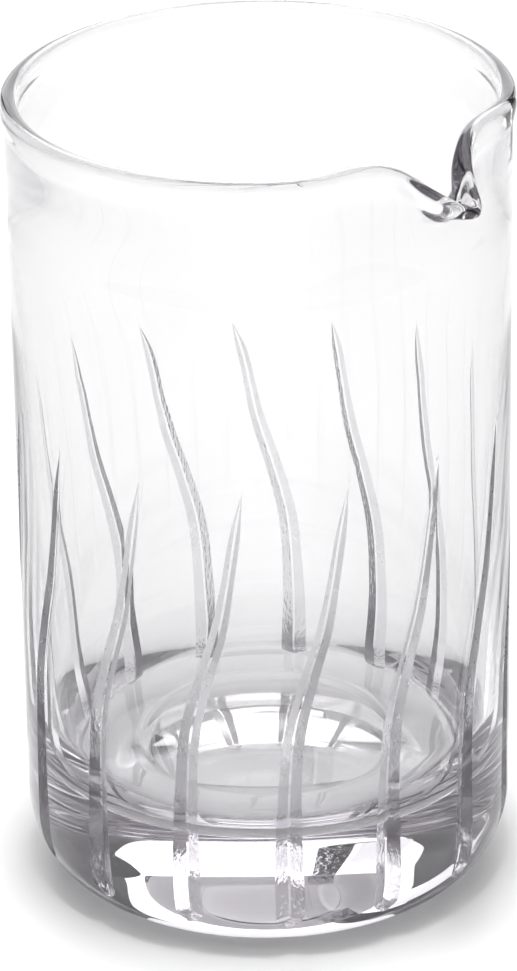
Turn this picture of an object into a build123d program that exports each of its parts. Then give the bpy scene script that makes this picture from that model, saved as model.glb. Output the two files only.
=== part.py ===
from build123d import *
from math import cos, exp, pi, radians, sin, sqrt
import os

# A bar mixing glass: one piece of clear crystal with a thick base, a straight wall,
# a fire-polished rim pulled out into a pouring spout, and mitre-cut flames round the wall.
# Millimetres. The origin is the centre of the underside, +Z is up, the spout points along +X.

# ---- driving dimensions ----
height = 150.0
wall_radius = 44.6

base_corner_across = 8.9        # the rounded foot corner is a quarter ellipse
base_corner_up = 14.2
punt_radius = 30.0              # shallow hollow ground into the underside
punt_depth = 3.5

floor_height = 21.0             # thickness of the solid base
floor_radius = 33.0             # the cavity's floor reaches out to here before its rounded corner
well_top = 35.0                 # where the cavity's rounded floor corner meets its wall
ring_radius = 24.4              # a low ring on the floor, and a shallow dish inside it
ring_rise = 0.35
dish_radius = 21.8
dish_edge_drop = 1.0
dish_depth = 2.7

wall_thinnest = 1.75
wall_growth = 2.0               # extra thickness gained over the height between the two ends below
wall_growth_start = 108.0
wall_growth_end = 30.0
collar_swell = 1.5              # the wall swells to a soft collar below the rim
collar_height = 134.0
collar_spread = 9.0

rim_roll = 1.63                 # radius of the rounded rim
rim_bead = 0.65                 # how far the rim stands out from the wall
rim_neck = 4.0                  # the inside meets the collar this far below the rim's centre
rim_bead_height = 5.0           # the outside flares out to the bead over this height
rim_turn_step = 30              # degrees between the points that draw the rim's roll

spout_length = 7.4              # how far the lip is pulled out
spout_half_angle_outside = 5.8
spout_half_angle_inside = 3.8
spout_sharpness = 1.8
spout_reach_outside = 15.0      # how far below the rim the pull dies out
spout_reach_inside = 7.0
lip_drop = 8.0
lip_drop_half_angle = 8.5
lip_drop_reach = 15.0
pinch = 2.6                     # the rim is squeezed inward on both sides of the spout
pinch_reach = 24.0
spout_span = 40.0               # the rim is round beyond this angle from the spout
seam_step = 0.02                # the spout's section is drawn this much inside the round rim's
spout_steps = 40                # sections lofted across the spout, from one end of its span to the other
shoulder_gap = 2.0              # the lofted rim starts this far below the reach of the pinch
clearance = 20.0                # tools for cutting away reach this far beyond the wall
wall_points = 9                 # points that draw the cavity's wall

groove_count = 15
groove_first_angle = -2.0
groove_depth_per_width = 0.20
groove_overshoot = 1.5          # the cutter reaches this far outside the wall
groove_foot_start = 8.2         # below this height a cut begins to run out on the foot corner
groove_foot_end = 5.8
groove_foot_clearance = 0.3     # the cutter's lower end stands this far off the foot corner
# one flame cut, from its tip down to the foot: height, drift round the wall in degrees, width across
groove_stations = [
    (92.5, 0.0, 0.25),
    (84.0, -1.8, 1.9),
    (74.0, -3.8, 2.3),
    (65.0, -6.0, 3.0),
    (55.0, -9.8, 3.4),
    (45.0, -13.0, 3.8),
    (34.0, -14.2, 4.1),
    (22.0, -14.6, 4.9),
    (base_corner_up, -14.5, 5.2),
    (12.0, -14.5, 5.3),
    (10.0, -14.5, 5.3),
    (groove_foot_start, -14.5, 5.3),
    (7.4, -14.5, 5.3),
    (6.8, -14.5, 5.3),
    (6.3, -14.5, 5.3),
    (6.0, -14.5, 5.3),
    (5.6, -14.5, 5.3),
]

# ---- worked-out dimensions ----
rim_inner_radius = wall_radius + rim_bead - 2 * rim_roll
rim_centre_radius = wall_radius + rim_bead - rim_roll
rim_centre_height = height - rim_roll
shoulder_height = height - pinch_reach - shoulder_gap
ring_height = floor_height + ring_rise
dish_edge_height = ring_height - dish_edge_drop
dish_centre_height = dish_edge_height - dish_depth


def wall_inner_radius(z):
    """Radius of the cavity at a height between the floor corner and the rim."""
    collar = collar_swell * exp(-(((z - collar_height) / collar_spread) ** 2))
    down = max(0.0, (wall_growth_start - z) / (wall_growth_start - wall_growth_end))
    return wall_radius - wall_thinnest - collar - wall_growth * down**1.3


def fade(depth, reach):
    """One at the rim, falling smoothly to nothing at the given depth below it."""
    u = min(max(depth / reach, 0.0), 1.0)
    return (1 - u) ** 2 * (1 + 2 * u)


def spout_shape(angle, half_angle):
    return exp(-((abs(angle) / half_angle) ** spout_sharpness))


def pulled(angle, r, z):
    """Where a point of the round rim goes when the spout is pulled out of it."""
    depth = height - z
    outwards = min(max((r - rim_inner_radius) / (2 * rim_roll), 0.0), 1.0)
    half_angle = spout_half_angle_inside + outwards * (spout_half_angle_outside - spout_half_angle_inside)
    reach = spout_reach_inside + outwards * (spout_reach_outside - spout_reach_inside)
    push = spout_length * spout_shape(angle, half_angle) * fade(depth, reach)
    squeeze = pinch * 0.5 * (1 - cos(2 * pi * abs(angle) / spout_span)) * fade(depth, pinch_reach)
    drop = lip_drop * spout_shape(angle, lip_drop_half_angle) * fade(depth, lip_drop_reach)
    return r + push - squeeze, z - drop


def evenly(first, last, steps):
    return [first + k * (last - first) / steps for k in range(steps + 1)]


def rim_outline(inset):
    """The wall's section above the shoulder, from its inside edge over the rim to its outside."""
    roll_radius = rim_roll - inset
    inside = []
    for z in evenly(shoulder_height, rim_centre_height - rim_neck, 6):
        inside.append((wall_inner_radius(z) + inset, z))
    roll = []
    for turn in range(0, 181, rim_turn_step):
        across = roll_radius * cos(radians(turn))
        up = roll_radius * sin(radians(turn))
        roll.append((rim_centre_radius - across, rim_centre_height + up))
    outside = []
    for z in evenly(rim_centre_height - rim_bead_height, shoulder_height, 5):
        outside.append((wall_radius - inset, z))
    return inside + roll + outside


def corner_inset(z):
    """How far the rounded foot corner has drawn in from the wall at a height."""
    u = min(max((base_corner_up - z) / base_corner_up, 0.0), 1.0)
    return base_corner_across * (1 - sqrt(1 - u * u))


def run_out(z):
    """One over a cut's length, falling to nothing in a round end on the foot corner."""
    u = min(max((groove_foot_start - z) / (groove_foot_start - groove_foot_end), 0.0), 1.0)
    return sqrt(1 - u * u)


# ---- the cutter for one flame ----
with BuildPart() as groove_cutter:
    for station_height, drift, width in groove_stations:
        depth = groove_depth_per_width * width * run_out(station_height)
        apex_radius = wall_radius - corner_inset(station_height) - depth
        outer_radius = wall_radius + groove_overshoot
        if station_height < groove_foot_end:
            apex_radius += groove_foot_clearance
        half_width = 0.5 * (outer_radius - apex_radius) / groove_depth_per_width
        station = Plane.XY.offset(station_height).rotated((0, 0, drift))
        with BuildSketch(station):
            Polygon((apex_radius, 0), (outer_radius, half_width), (outer_radius, -half_width), align=None)
    loft()

# ---- the glass ----
with BuildPart() as glass_body:
    # the round glass, as one closed section turned about its axis
    with BuildSketch(Plane.XZ):
        with BuildLine():
            Line((0, punt_depth), (0, dish_centre_height))
            TangentArc((0, dish_centre_height), (dish_radius, dish_edge_height), tangent=(1, 0))
            Line((dish_radius, dish_edge_height), (ring_radius, ring_height))
            Line((ring_radius, ring_height), (floor_radius, floor_height))
            EllipticalCenterArc(
                (floor_radius, well_top),
                wall_inner_radius(well_top) - floor_radius,
                well_top - floor_height,
                start_angle=270,
                arc_size=90,
            )
            wall_heights = evenly(well_top, shoulder_height, wall_points)
            Spline(*[(wall_inner_radius(z), z) for z in wall_heights])
            Spline(*rim_outline(inset=0))
            Line((wall_radius, shoulder_height), (wall_radius, base_corner_up))
            EllipticalCenterArc(
                (wall_radius - base_corner_across, base_corner_up),
                base_corner_across,
                base_corner_up,
                start_angle=270,
                arc_size=90,
            )
            Line((wall_radius - base_corner_across, 0), (punt_radius, 0))
            TangentArc((0, punt_depth), (punt_radius, 0), tangent=(1, 0))
        make_face()
    revolve(axis=Axis.Z)

    # room for the spout, and the spout lofted through radial sections of the rim
    with BuildSketch(Plane.XY.offset(shoulder_height)):
        with BuildLine():
            far = wall_radius + clearance
            start = (far * cos(radians(spout_span)), -far * sin(radians(spout_span)))
            finish = (start[0], -start[1])
            Line((0, 0), start)
            ThreePointArc(start, (far, 0), finish)
            Line(finish, (0, 0))
        make_face()
    extrude(amount=height, mode=Mode.SUBTRACT)

    for step in range(spout_steps + 1):
        angle = spout_span * (2 * step / spout_steps - 1)
        out = (cos(radians(angle)), sin(radians(angle)), 0)
        section = Plane(origin=(0, 0, 0), x_dir=out, z_dir=(out[1], -out[0], 0))
        with BuildSketch(section):
            with BuildLine():
                outline = [pulled(angle, r, z) for r, z in rim_outline(seam_step)]
                Spline(*outline)
                Line(outline[-1], outline[0])
            make_face()
    loft()

    # the flames
    with PolarLocations(0, groove_count, start_angle=groove_first_angle):
        add(groove_cutter.part, mode=Mode.SUBTRACT)

glass_body.part.label = "glass_body"

os.makedirs("parts", exist_ok=True)
export_step(glass_body.part, "parts/glass_body.step")
print("volume cm3", glass_body.part.volume / 1000, "solids", len(glass_body.part.solids()))
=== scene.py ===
from math import cos, degrees, exp, pi, radians, sin, sqrt

import bpy
from mathutils import Matrix, Vector


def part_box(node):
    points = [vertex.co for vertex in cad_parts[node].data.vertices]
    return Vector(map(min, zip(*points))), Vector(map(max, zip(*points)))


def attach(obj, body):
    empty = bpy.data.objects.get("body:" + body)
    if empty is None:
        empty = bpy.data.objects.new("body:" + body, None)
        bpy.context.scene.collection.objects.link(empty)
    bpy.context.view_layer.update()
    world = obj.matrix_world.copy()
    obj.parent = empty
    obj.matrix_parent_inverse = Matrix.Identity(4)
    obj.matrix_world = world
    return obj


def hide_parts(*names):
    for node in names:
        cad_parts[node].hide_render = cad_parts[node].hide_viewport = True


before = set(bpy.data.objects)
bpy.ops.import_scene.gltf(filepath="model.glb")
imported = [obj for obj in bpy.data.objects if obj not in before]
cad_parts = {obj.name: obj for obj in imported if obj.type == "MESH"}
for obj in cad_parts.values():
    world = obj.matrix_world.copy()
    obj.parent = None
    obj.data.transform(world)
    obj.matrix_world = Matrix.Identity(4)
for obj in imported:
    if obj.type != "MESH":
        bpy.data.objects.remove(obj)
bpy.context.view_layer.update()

# A bar mixing glass in clear crystal: straight wall, thick base, rolled rim pulled out into a
# spout along +X, and flame-shaped mitre cuts ground into the outside. Lengths are millimetres
# until a mesh is made, when MM turns them into metres.

MM = 0.001

# ---- the glass: overall sizes from the frame, the rest as in the CAD model ----
low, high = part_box("glass_body")
height = high.z / MM
rim_outer_radius = high.y / MM
rim_bead = 0.65                 # how far the rim stands out from the wall
rim_bead_height = 5.0           # the outside flares out to the bead over this height
rim_roll = 1.63                 # radius of the rounded rim
rim_neck = 4.0                  # the inside meets the collar this far below the rim's centre
wall_radius = rim_outer_radius - rim_bead
base_corner_across = 8.9
base_corner_up = 14.2
punt_radius = 30.0              # shallow hollow ground into the underside
punt_depth = 3.5
floor_height = 21.0
floor_radius = 33.0             # the cavity's floor reaches out to here before its rounded corner
ring_radius = 24.4              # a low ring on the floor, and a shallow dish inside it
ring_rise = 0.35
dish_radius = 21.8
dish_edge_drop = 1.0
dish_depth = 2.7
well_top = 35.0                 # where the cavity's rounded floor corner meets its wall
wall_thinnest = 1.75
wall_growth = 2.0
wall_growth_start = 108.0
wall_growth_end = 30.0
collar_swell = 1.5              # the wall swells to a soft collar below the rim
collar_height = 134.0
collar_spread = 9.0
spout_length = 7.4              # how far the lip is pulled out
spout_half_angle_outside = 5.8
spout_half_angle_inside = 3.8
spout_sharpness = 1.8
spout_reach_outside = 15.0
spout_reach_inside = 7.0
lip_drop = 8.0
lip_drop_half_angle = 8.5
lip_drop_reach = 15.0
pinch = 2.6                     # the rim is squeezed inward on both sides of the spout
pinch_reach = 24.0
spout_span = 40.0               # the rim is round beyond this angle from the spout

rim_inner_radius = rim_outer_radius - 2 * rim_roll
rim_centre_radius = rim_outer_radius - rim_roll
rim_centre_height = height - rim_roll

# ---- the flame cuts ----
groove_count = 15
groove_first_angle = -2.0
groove_depth_per_width = 0.20
groove_floor_half_width = 0.22   # the wheel's blunt edge leaves a narrow polished floor
groove_floor_share = 0.3         # and never more than this share of the cut
groove_foot_start = 8.2          # below this height a cut begins to run out on the foot corner
groove_foot_end = 5.8
# height, drift round the wall in degrees, width across
groove_stations = [
    (92.5, 0.0, 0.08),
    (84.0, -1.8, 1.9),
    (74.0, -3.8, 2.3),
    (65.0, -6.0, 3.0),
    (55.0, -9.8, 3.4),
    (45.0, -13.0, 3.8),
    (34.0, -14.2, 4.1),
    (22.0, -14.6, 4.9),
    (12.0, -14.5, 5.3),
    (3.0, -14.5, 5.3),
]
groove_top = groove_stations[0][0]
cell_angle = 360.0 / groove_count

# ---- crystal: polished, and satin where the wheel has ground it ----
crystal_ior = 1.52
glass_tint = (0.828, 0.818, 0.834, 1)
glass_absorption = 38.0         # per metre
clear_tone = (0.995, 0.995, 0.997, 1)
ground_tone = (0.66, 0.655, 0.67, 1)
satin_least = 0.15              # roughness of the cuts' flanks, at its least
satin_variation = 0.35          # and how much the wheel's scores can add to it
polished_below = 0.018          # metres above the floor: the flanks come out smoother low down
satin_above = 0.050
polished_share = 0.2            # what is left of the roughness there
score_scale = 1700.0            # the wheel's scores, as noise stretched up the cut
score_stretch = (1.0, 1.0, 0.4)
score_detail = 3.0
score_depth = 0.00012           # metres

# ---- the floor ----
floor_tone = (0.86, 0.86, 0.865, 1)
floor_roughness = 0.6
floor_gap = 0.0002              # metres
floor_reach = 9.0

# ---- how fine the mesh is ----
flank_columns = 4               # columns on each side of a cut's middle line
plain_columns = 20              # columns between one cut and the next
cell_columns = 2 * flank_columns + plain_columns
columns = cell_columns * groove_count
flank_share = flank_columns / cell_columns
relax_above_cuts = 8.0          # over this height the columns spread evenly again
spout_crowding = 0.62           # how strongly columns gather at the spout near the rim
spout_crowding_from = 100.0
spout_crowding_full = 125.0


def smoothstep(low_end, high_end, value):
    """0 below the low end, 1 above the high end and an even S between them."""
    u = min(max((value - low_end) / (high_end - low_end), 0.0), 1.0)
    return u * u * (3 - 2 * u)


def between(first, last, share):
    return first + (last - first) * share


def station_value(z, column):
    """A cut's drift or width at a height, on a smooth curve through the stations."""
    table = groove_stations
    if z >= table[0][0]:
        return table[0][column]
    if z <= table[-1][0]:
        return table[-1][column]
    k = next(i for i in range(len(table) - 1) if table[i + 1][0] <= z)
    before, after = table[max(k - 1, 0)], table[min(k + 2, len(table) - 1)]
    upper, lower = table[k], table[k + 1]
    span = lower[0] - upper[0]
    u = (z - upper[0]) / span
    slope_upper = (lower[column] - before[column]) / (lower[0] - before[0]) * span
    slope_lower = (after[column] - upper[column]) / (after[0] - upper[0]) * span
    return (
        upper[column] * (2 * u**3 - 3 * u**2 + 1)
        + slope_upper * (u**3 - 2 * u**2 + u)
        + lower[column] * (3 * u**2 - 2 * u**3)
        + slope_lower * (u**3 - u**2)
    )


def wall_inner_radius(z):
    """Radius of the cavity at a height between the floor corner and the rim."""
    collar = collar_swell * exp(-(((z - collar_height) / collar_spread) ** 2))
    down = max(0.0, (wall_growth_start - z) / (wall_growth_start - wall_growth_end))
    return wall_radius - wall_thinnest - collar - wall_growth * down**1.3


def fade(depth, reach):
    """One at the rim, falling smoothly to nothing at the given depth below it."""
    u = min(max(depth / reach, 0.0), 1.0)
    return (1 - u) ** 2 * (1 + 2 * u)


def spout_shape(angle, half_angle):
    return exp(-((abs(angle) / half_angle) ** spout_sharpness))


def pulled(angle, r, z):
    """Where a point of the round rim goes when the spout is pulled out of it."""
    depth = height - z
    outwards = min(max((r - rim_inner_radius) / (2 * rim_roll), 0.0), 1.0)
    half_angle = between(spout_half_angle_inside, spout_half_angle_outside, outwards)
    reach = between(spout_reach_inside, spout_reach_outside, outwards)
    push = spout_length * spout_shape(angle, half_angle) * fade(depth, reach)
    squeeze = 0.0
    if abs(angle) < spout_span:
        squeeze = pinch * 0.5 * (1 - cos(2 * pi * abs(angle) / spout_span)) * fade(depth, pinch_reach)
    drop = lip_drop * spout_shape(angle, lip_drop_half_angle) * fade(depth, lip_drop_reach)
    return r + push - squeeze, z - drop


def run_out(z):
    """1 over a cut's length, falling to 0 in a round end where the wheel leaves the foot corner."""
    u = min(max((groove_foot_start - z) / (groove_foot_start - groove_foot_end), 0.0), 1.0)
    return sqrt(1 - u * u)


def underside_rows():
    """(radius, height, how far the columns follow the cuts, is outside), from the middle outwards."""
    rows = []
    punt_steps = 14
    for k in range(1, punt_steps + 1):
        r = punt_radius * k / punt_steps
        rows.append((r, punt_depth * (1 - (r / punt_radius) ** 2), 0.0, True))
    foot_radius = wall_radius - base_corner_across
    foot_steps = 4
    for k in range(1, foot_steps):
        rows.append((between(punt_radius, foot_radius, k / foot_steps), 0.0, 0.0, True))
    corner_steps = 56
    for k in range(corner_steps + 1):
        turn = radians(90.0 * k / corner_steps)
        r = foot_radius + base_corner_across * sin(turn)
        z = base_corner_up * (1 - cos(turn))
        rows.append((r, z, smoothstep(0.0, groove_foot_end, z), True))
    return rows


def outer_wall_rows():
    """The straight wall through the cuts, the plain wall above them and the flare to the bead."""
    rows = []
    cut_step = 1.3
    cut_steps = int((groove_top - base_corner_up) / cut_step)
    for k in range(1, cut_steps + 1):
        rows.append((wall_radius, between(base_corner_up, groove_top, k / cut_steps), 1.0, True))
    bead_from = rim_centre_height - rim_bead_height
    plain_steps = 60
    for k in range(1, plain_steps + 1):
        z = between(groove_top, bead_from, k / plain_steps)
        follow = 1 - smoothstep(groove_top, groove_top + relax_above_cuts, z)
        rows.append((wall_radius, z, follow, True))
    bead_steps = 12
    for k in range(1, bead_steps):
        u = k / bead_steps
        r = wall_radius + rim_bead * smoothstep(0, 1, u)
        rows.append((r, bead_from + rim_bead_height * u, 0.0, True))
    return rows


def rim_rows():
    """Over the rolled rim, from its outside to its inside."""
    rows = []
    roll_steps = 36
    for k in range(roll_steps + 1):
        turn = pi * k / roll_steps
        r = rim_centre_radius + rim_roll * cos(turn)
        rows.append((r, rim_centre_height + rim_roll * sin(turn), 0.0, False))
    return rows


def inner_rows():
    """Down the cavity: neck, wall, rounded corner, floor, the ring's inner edge and the dish."""
    rows = []
    neck_foot = rim_centre_height - rim_neck
    neck_radius = wall_inner_radius(neck_foot)
    neck_steps = 10
    for k in range(1, neck_steps):
        u = k / neck_steps
        r = between(rim_inner_radius, neck_radius, smoothstep(0, 1, u))
        rows.append((r, rim_centre_height - rim_neck * u, 0.0, False))
    wall_steps = 110
    for k in range(wall_steps + 1):
        z = between(neck_foot, well_top, k / wall_steps)
        rows.append((wall_inner_radius(z), z, 0.0, False))
    well_steps = 24
    across = wall_inner_radius(well_top) - floor_radius
    for k in range(1, well_steps + 1):
        turn = radians(90.0 * k / well_steps)
        z = well_top - (well_top - floor_height) * sin(turn)
        rows.append((floor_radius + across * cos(turn), z, 0.0, False))
    shelf_steps = 6
    for k in range(1, shelf_steps + 1):
        u = k / shelf_steps
        r = between(floor_radius, ring_radius, u)
        rows.append((r, floor_height + ring_rise * u * u, 0.0, False))
    edge_steps = 4
    for k in range(1, edge_steps):
        u = k / edge_steps
        z = floor_height + ring_rise - dish_edge_drop * smoothstep(0, 1, u)
        rows.append((between(ring_radius, dish_radius, u), z, 0.0, False))
    dish_steps = 18
    for k in range(dish_steps):
        r = dish_radius * (1 - k / dish_steps)
        rows.append((r, dish_height(r), 0.0, False))
    return rows


def dish_height(r):
    """The cavity's floor inside its ring, a shallow round dish."""
    return floor_height + ring_rise - dish_edge_drop - dish_depth * (1 - (r / dish_radius) ** 2)


def in_cut_zone(row):
    """Whether the cuts reach down into this row of the outside."""
    return row[3] and groove_foot_end < row[1] <= groove_top and row[2] == 1.0


def across_cut(step, z):
    """The distance from a cut's middle line to one of its columns, step columns away from it."""
    half_width = 0.5 * station_value(z, 2) * run_out(z)
    floor_half_width = min(groove_floor_half_width, groove_floor_share * half_width)
    if step <= 1:
        return floor_half_width * step
    return between(floor_half_width, half_width, (step - 1) / (flank_columns - 1))


def cut_radius(step, radius, z):
    """The radius of the cut surface at one of its columns."""
    depth = groove_depth_per_width * station_value(z, 2) * run_out(z)
    rise = max(step - 1, 0) / (flank_columns - 1)
    return radius - depth * (1 - rise)


def column_angle(cell, step, row):
    """A column's angle from the spout in degrees, step columns to either side of the cell's cut."""
    radius, z, follow, outside = row
    share = step / cell_columns
    even = share * cell_angle
    angle = groove_first_angle + cell * cell_angle
    if outside:
        angle += station_value(z, 1)
    if follow > 0:
        side = 1 if step > 0 else -1
        edge = degrees(across_cut(flank_columns, z) / wall_radius)
        if abs(step) <= flank_columns:
            followed = side * degrees(across_cut(abs(step), z) / wall_radius)
        else:
            beyond = (abs(share) - flank_share) / (0.5 - flank_share)
            followed = side * (edge + (0.5 * cell_angle - edge) * beyond)
        even += (followed - even) * follow
    angle += even
    crowd = spout_crowding * smoothstep(spout_crowding_from, spout_crowding_full, z)
    return angle - degrees(crowd * sin(radians(angle)))


def build_glass():
    """One closed mesh: rows of points round the axis, from the underside over the rim to the dish."""
    rows = underside_rows() + outer_wall_rows() + rim_rows() + inner_rows()
    middle = cell_columns // 2
    verts = [(0.0, 0.0, punt_depth * MM)]
    for row in rows:
        radius, z = row[:2]
        for column in range(columns):
            cell, step = divmod(column, cell_columns)
            step -= middle
            r = radius
            if in_cut_zone(row) and abs(step) < flank_columns:
                r = cut_radius(abs(step), radius, z)
            angle = column_angle(cell, step, row)
            wrapped = (angle + 180.0) % 360.0 - 180.0
            moved_r, moved_z = pulled(wrapped, r, z)
            a = radians(angle)
            verts.append((moved_r * cos(a) * MM, moved_r * sin(a) * MM, moved_z * MM))
    verts.append((0.0, 0.0, dish_height(0.0) * MM))
    last = len(verts) - 1
    faces, ground = [], []
    flanks = {middle + k for k in range(-flank_columns, flank_columns) if k not in (-1, 0)}
    for column in range(columns):
        beside = (column + 1) % columns
        faces.append((0, 1 + beside, 1 + column))
        ground.append(0.0)
        for k in range(len(rows) - 1):
            here, there = 1 + k * columns, 1 + (k + 1) * columns
            faces.append((here + column, here + beside, there + beside, there + column))
            in_cut = in_cut_zone(rows[k + 1]) and rows[k][3] and rows[k][1] < groove_top
            ground.append(1.0 if in_cut and column % cell_columns in flanks else 0.0)
        top = 1 + (len(rows) - 1) * columns
        faces.append((top + column, top + beside, last))
        ground.append(0.0)
    mesh = bpy.data.meshes.new("mixing_glass")
    mesh.from_pydata(verts, [], faces)
    mesh.attributes.new("ground", "FLOAT", "FACE").data.foreach_set("value", ground)
    mesh.shade_smooth()
    mark_cut_edges(mesh, rows)
    glass = bpy.data.objects.new("mixing_glass", mesh)
    bpy.context.scene.collection.objects.link(glass)
    return glass


def mark_cut_edges(mesh, rows):
    """The edges of each cut and of its floor stay sharp under smooth shading."""
    middle = cell_columns // 2
    sharp_columns = {middle + k for k in (-flank_columns, -1, 1, flank_columns)}
    sharp = mesh.attributes.new("sharp_edge", "BOOLEAN", "EDGE")
    for edge in mesh.edges:
        a, b = sorted(edge.vertices)
        if a == 0 or b > len(rows) * columns:
            continue
        row_a, column_a = divmod(a - 1, columns)
        row_b, column_b = divmod(b - 1, columns)
        if column_a == column_b and row_a != row_b and column_a % cell_columns in sharp_columns:
            sharp.data[edge.index].value = in_cut_zone(rows[row_a]) or in_cut_zone(rows[row_b])


def node(tree, kind, **values):
    """A new shader node with its settings."""
    made = tree.nodes.new(kind)
    for name, value in values.items():
        setattr(made, name, value)
    return made


def math_node(tree, operation, *values):
    """The output of a maths node whose inputs are numbers or other nodes' outputs."""
    made = node(tree, "ShaderNodeMath", operation=operation)
    for socket, value in zip(made.inputs, values):
        if isinstance(value, (int, float)):
            socket.default_value = value
        else:
            tree.links.new(value, socket)
    return made.outputs[0]


def crystal_material():
    """Clear polished glass, with the cuts' flanks left satin and finely scored by the grinding wheel."""
    material = bpy.data.materials.new("clear_crystal")
    material.use_nodes = True
    tree = material.node_tree
    shader = tree.nodes["Principled BSDF"]
    shader.inputs["IOR"].default_value = crystal_ior
    shader.inputs["Transmission Weight"].default_value = 1.0
    ground = node(tree, "ShaderNodeAttribute", attribute_name="ground").outputs["Fac"]
    place = node(tree, "ShaderNodeTexCoord").outputs["Object"]
    stretch = node(tree, "ShaderNodeMapping")
    stretch.inputs["Scale"].default_value = score_stretch
    tree.links.new(place, stretch.inputs["Vector"])
    scores = node(tree, "ShaderNodeTexNoise")
    scores.inputs["Scale"].default_value = score_scale
    scores.inputs["Detail"].default_value = score_detail
    tree.links.new(stretch.outputs["Vector"], scores.inputs["Vector"])
    tone = node(tree, "ShaderNodeMix", data_type="RGBA")
    tone.inputs["A"].default_value = clear_tone
    tone.inputs["B"].default_value = ground_tone
    tree.links.new(ground, tone.inputs["Factor"])
    tree.links.new(tone.outputs["Result"], shader.inputs["Base Color"])
    satin = math_node(tree, "MULTIPLY_ADD", scores.outputs["Fac"], satin_variation, satin_least)
    level = node(tree, "ShaderNodeSeparateXYZ")
    tree.links.new(place, level.inputs["Vector"])
    upward = node(tree, "ShaderNodeMapRange", interpolation_type="SMOOTHSTEP")
    upward.inputs["From Min"].default_value = polished_below
    upward.inputs["From Max"].default_value = satin_above
    upward.inputs["To Min"].default_value = polished_share
    tree.links.new(level.outputs["Z"], upward.inputs["Value"])
    rough = math_node(tree, "MULTIPLY", satin, upward.outputs["Result"])
    tree.links.new(math_node(tree, "MULTIPLY", ground, rough), shader.inputs["Roughness"])
    relief = node(tree, "ShaderNodeBump")
    relief.inputs["Distance"].default_value = score_depth
    tree.links.new(math_node(tree, "MULTIPLY", ground, scores.outputs["Fac"]), relief.inputs["Height"])
    tree.links.new(relief.outputs["Normal"], shader.inputs["Normal"])
    absorb = node(tree, "ShaderNodeVolumeAbsorption")
    absorb.inputs["Color"].default_value = glass_tint
    absorb.inputs["Density"].default_value = glass_absorption
    tree.links.new(absorb.outputs["Volume"], tree.nodes["Material Output"].inputs["Volume"])
    return material


def build_floor():
    """A plain pale floor, a hair below the glass so that the two surfaces stay apart."""
    mesh = bpy.data.meshes.new("floor")
    x = y = floor_reach
    corners = [(-x, -y, 0), (x, -y, 0), (x, y, 0), (-x, y, 0)]
    mesh.from_pydata(corners, [], [(0, 1, 2, 3)])
    floor = bpy.data.objects.new("floor", mesh)
    bpy.context.scene.collection.objects.link(floor)
    floor.location.z = -floor_gap
    material = bpy.data.materials.new("floor")
    material.use_nodes = True
    shader = material.node_tree.nodes["Principled BSDF"]
    shader.inputs["Base Color"].default_value = floor_tone
    shader.inputs["Roughness"].default_value = floor_roughness
    mesh.materials.append(material)


# ---- camera: angles in degrees, lengths in metres, lens in millimetres ----
camera_azimuth = 45.0
camera_elevation = 25.5
camera_distance = 0.9205
camera_lens = 188.5
camera_roll = 0.94
aim_right = -0.00101
aim_up = -0.00196
camera_sees_to = 100.0


def build_camera():
    """A long lens from the front, turned to the spout's side, looking down into the glass."""
    a, e = radians(camera_azimuth), radians(camera_elevation)
    back = Vector((sin(a) * cos(e), -cos(a) * cos(e), sin(e)))
    right = Vector((cos(a), sin(a), 0))
    up = back.cross(right)
    middle = Vector((0, 0, 0.5 * height * MM))
    camera = bpy.data.objects.new("camera", bpy.data.cameras.new("camera"))
    bpy.context.scene.collection.objects.link(camera)
    camera.data.lens = camera_lens
    camera.data.clip_end = camera_sees_to
    camera.location = middle + back * camera_distance
    aim = middle + right * aim_right + up * aim_up
    turn = (aim - camera.location).to_track_quat("-Z", "Y").to_matrix()
    camera.rotation_euler = (turn @ Matrix.Rotation(radians(-camera_roll), 3, "Z")).to_euler()
    bpy.context.scene.camera = camera


# ---- light in metres, where a radiance of 1 is a white wall ----
room_low = 0.12                 # near the horizon
room_low_ends = 0.35            # sine of the elevation where the room begins to brighten
room_high = 0.45                # overhead
room_high_starts = 0.95
backdrop_radiance = 2.0
backdrop_size = (1.5, 1.3)
backdrop_back = 1.6
backdrop_height = 0.75
backdrop_aim_height = 0.3
overhead_radiance = 1.35
overhead_size = (1.0, 2.2)
overhead_back = 0.45
overhead_height = 0.9
pool_radiance = 1.42            # a strip with a grid that keeps the floor bright near the glass
pool_size = (0.10, 1.3)
pool_spread = 19.0
pool_back = 0.35
pool_height = 0.9
light_bounces = 64              # light trapped in the glass is reflected many times


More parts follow.
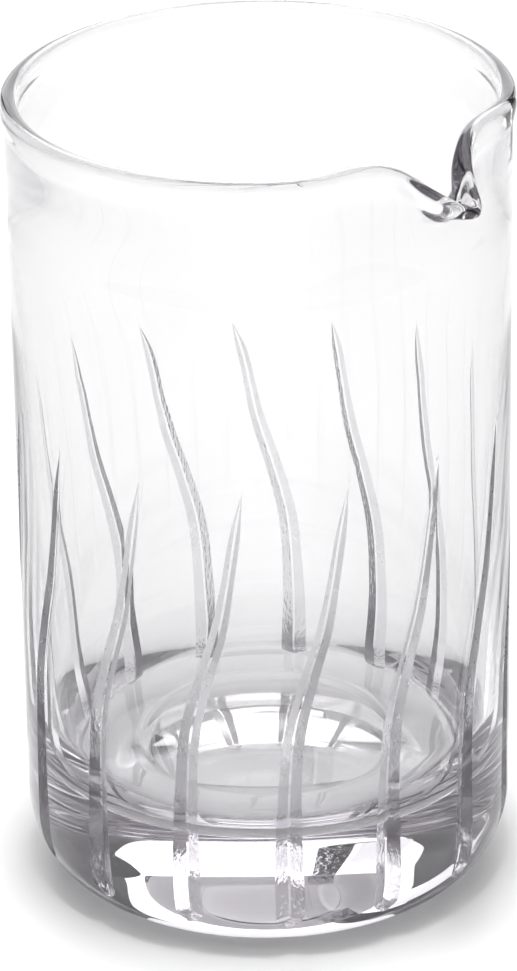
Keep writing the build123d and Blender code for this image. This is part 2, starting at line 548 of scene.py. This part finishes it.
def area_light(name, place, size, radiance):
    """A soft rectangular light."""
    data = bpy.data.lights.new(name, "AREA")
    data.shape = "RECTANGLE"
    data.size = size[0]
    data.size_y = size[1]
    data.energy = radiance * size[0] * size[1] * pi
    light = bpy.data.objects.new(name, data)
    bpy.context.scene.collection.objects.link(light)
    light.location = place
    return light


def build_room():
    """A dim room with a slightly brighter ceiling."""
    world = bpy.data.worlds.new("studio")
    bpy.context.scene.world = world
    world.use_nodes = True
    tree = world.node_tree
    split = node(tree, "ShaderNodeSeparateXYZ")
    tree.links.new(node(tree, "ShaderNodeTexCoord").outputs["Generated"], split.inputs["Vector"])
    climb = node(tree, "ShaderNodeMapRange", interpolation_type="SMOOTHSTEP")
    climb.inputs["From Min"].default_value = room_low_ends
    climb.inputs["From Max"].default_value = room_high_starts
    climb.inputs["To Min"].default_value = room_low
    climb.inputs["To Max"].default_value = room_high
    tree.links.new(split.outputs["Z"], climb.inputs["Value"])
    tree.links.new(climb.outputs["Result"], tree.nodes["Background"].inputs["Strength"])
    tree.nodes["Background"].inputs["Color"].default_value = (1, 1, 1, 1)


def build_lights():
    """A bright panel behind the glass, a large soft light over it and a narrower one for the floor."""
    far = Vector((-sin(radians(camera_azimuth)), cos(radians(camera_azimuth)), 0))
    up = Vector((0, 0, 1))
    backdrop_place = far * backdrop_back + up * backdrop_height
    backdrop = area_light("backdrop", backdrop_place, backdrop_size, backdrop_radiance)
    towards_glass = up * backdrop_aim_height - backdrop_place
    backdrop.rotation_euler = towards_glass.to_track_quat("-Z", "Y").to_euler()
    overhead_place = far * overhead_back + up * overhead_height
    overhead = area_light("overhead", overhead_place, overhead_size, overhead_radiance)
    overhead.rotation_euler = (0, 0, radians(camera_azimuth))
    pool_place = far * pool_back + up * pool_height
    pool = area_light("pool", pool_place, pool_size, pool_radiance)
    pool.rotation_euler = (0, 0, radians(camera_azimuth))
    pool.data.spread = radians(pool_spread)


glass = build_glass()
glass.data.materials.append(crystal_material())
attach(glass, "root")
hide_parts("glass_body")
build_floor()
build_camera()
build_room()
build_lights()

scene = bpy.context.scene
scene.view_settings.view_transform = "Standard"
scene.cycles.max_bounces = light_bounces
scene.cycles.transmission_bounces = light_bounces
scene.cycles.glossy_bounces = light_bounces
